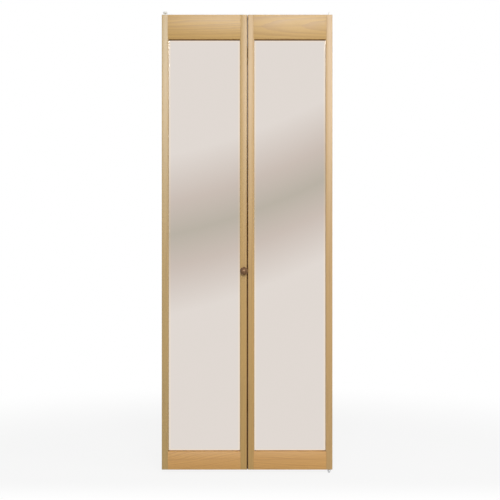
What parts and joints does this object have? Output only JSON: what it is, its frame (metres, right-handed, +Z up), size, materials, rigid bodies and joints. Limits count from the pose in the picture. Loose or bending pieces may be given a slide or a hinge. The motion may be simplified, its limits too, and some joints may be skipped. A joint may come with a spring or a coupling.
{
  "type": "bifold closet door",
  "caption": "Bifold closet door of hinged wooden leaves with full-length mirror panes, a small round knob, jamb pivots and a top guide wheel, closed.",
  "frame": {"origin": "on the axis of the jamb pivots, at the underside of the bottom pin's collar, where the pin stands on its bracket", "axes": "+Z up along the pivot axis, +X to the right as seen from the room, +Y from the room into the closet"},
  "size_m": [0.7493, 0.0623, 2.029],
  "materials": {
    "pine": "satin",
    "beech": "matte",
    "hardboard": "matte",
    "mirror": "polished",
    "foam_tape": "matte",
    "knob_bronze": "satin",
    "hinge_steel": "satin",
    "zinc_steel": "satin",
    "spring_steel": "satin",
    "nylon": "satin"
  },
  "bodies": {
    "floor_pin": {"bottom_pivot_pin": "zinc_steel"},
    "thrust_washer": {"thrust_washer": "nylon"},
    "height_nut": {"height_nut": "zinc_steel"},
    "pivot_leaf": {"bottom_hinge_pin": "hinge_steel", "bottom_hinge_pivot_plate": "hinge_steel", "bottom_pivot_sleeve": "nylon", "middle_hinge_pin": "hinge_steel", "middle_hinge_pivot_plate": "hinge_steel", "pivot_leaf_backing_board": "hardboard", "pivot_leaf_bedding_tape": "foam_tape", "pivot_leaf_bottom_rail": "pine", "pivot_leaf_bottom_stop": "pine", "pivot_leaf_frame_dowels": "beech", "pivot_leaf_hinge_screws": "zinc_steel", "pivot_leaf_meeting_stile": "pine", "pivot_leaf_meeting_stop": "pine", "pivot_leaf_mirror": "mirror", "pivot_leaf_outer_stile": "pine", "pivot_leaf_outer_stop": "pine", "pivot_leaf_stop_brads": "zinc_steel", "pivot_leaf_top_rail": "pine", "pivot_leaf_top_stop": "pine", "top_hinge_pin": "hinge_steel", "top_hinge_pivot_plate": "hinge_steel", "top_pivot_plug": "nylon", "top_pivot_sleeve": "nylon", "top_pivot_spring": "spring_steel"},
    "lead_leaf": {"bottom_hinge_lead_plate": "hinge_steel", "guide_plug": "nylon", "guide_sleeve": "nylon", "guide_spring": "spring_steel", "knob": "knob_bronze", "knob_screw": "zinc_steel", "knob_washer": "zinc_steel", "lead_leaf_backing_board": "hardboard", "lead_leaf_bedding_tape": "foam_tape", "lead_leaf_bottom_rail": "pine", "lead_leaf_bottom_stop": "pine", "lead_leaf_frame_dowels": "beech", "lead_leaf_hinge_screws": "zinc_steel", "lead_leaf_meeting_stile": "pine", "lead_leaf_meeting_stop": "pine", "lead_leaf_mirror": "mirror", "lead_leaf_outer_stile": "pine", "lead_leaf_outer_stop": "pine", "lead_leaf_stop_brads": "zinc_steel", "lead_leaf_top_rail": "pine", "lead_leaf_top_stop": "pine", "middle_hinge_lead_plate": "hinge_steel", "top_hinge_lead_plate": "hinge_steel"},
    "top_pin": {"top_pivot_pin": "nylon"},
    "guide_pin": {"guide_pin": "nylon"},
    "guide_wheel": {"guide_wheel": "nylon"}
  },
  "joints": [
    {"name": "height_adjust", "type": "slide", "parent": "floor_pin", "child": "thrust_washer", "axis": [0, 0, 1], "range_m": [0, 0.01]},
    {"name": "nut_turn", "type": "hinge", "parent": "thrust_washer", "child": "height_nut", "pos_m": [0, 0, 0], "axis": [0, 0, 1], "range_deg": [0, 2836]},
    {"name": "door_swing", "type": "hinge", "parent": "thrust_washer", "child": "pivot_leaf", "pos_m": [0, 0, 0], "axis": [0, 0, 1], "range_deg": [0, 87]},
    {"name": "leaf_fold", "type": "hinge", "parent": "pivot_leaf", "child": "lead_leaf", "pos_m": [-0.36035, 0.0178, 0], "axis": [0, 0, 1], "range_deg": [-174, 0]},
    {"name": "top_pin_press", "type": "slide", "parent": "pivot_leaf", "child": "top_pin", "axis": [0, 0, 1], "range_m": [-0.011, 0], "stiffness_N_per_m": 1000, "springref_m": 0.008, "deforming": ["top_pivot_spring"]},
    {"name": "guide_pin_press", "type": "slide", "parent": "lead_leaf", "child": "guide_pin", "axis": [0, 0, 1], "range_m": [-0.007, 0], "stiffness_N_per_m": 1000, "springref_m": 0.008, "deforming": ["guide_spring"]},
    {"name": "guide_wheel_spin", "type": "hinge", "parent": "guide_pin", "child": "guide_wheel", "pos_m": [-0.7207, 0, 0], "axis": [0, 0, 1], "continuous": true}
  ],
  "couplings": [
    {"joint": "leaf_fold", "follows": "door_swing", "ratio": -2},
    {"joint": "nut_turn", "follows": "height_adjust", "rad_per_m": 4947.4}
  ]
}
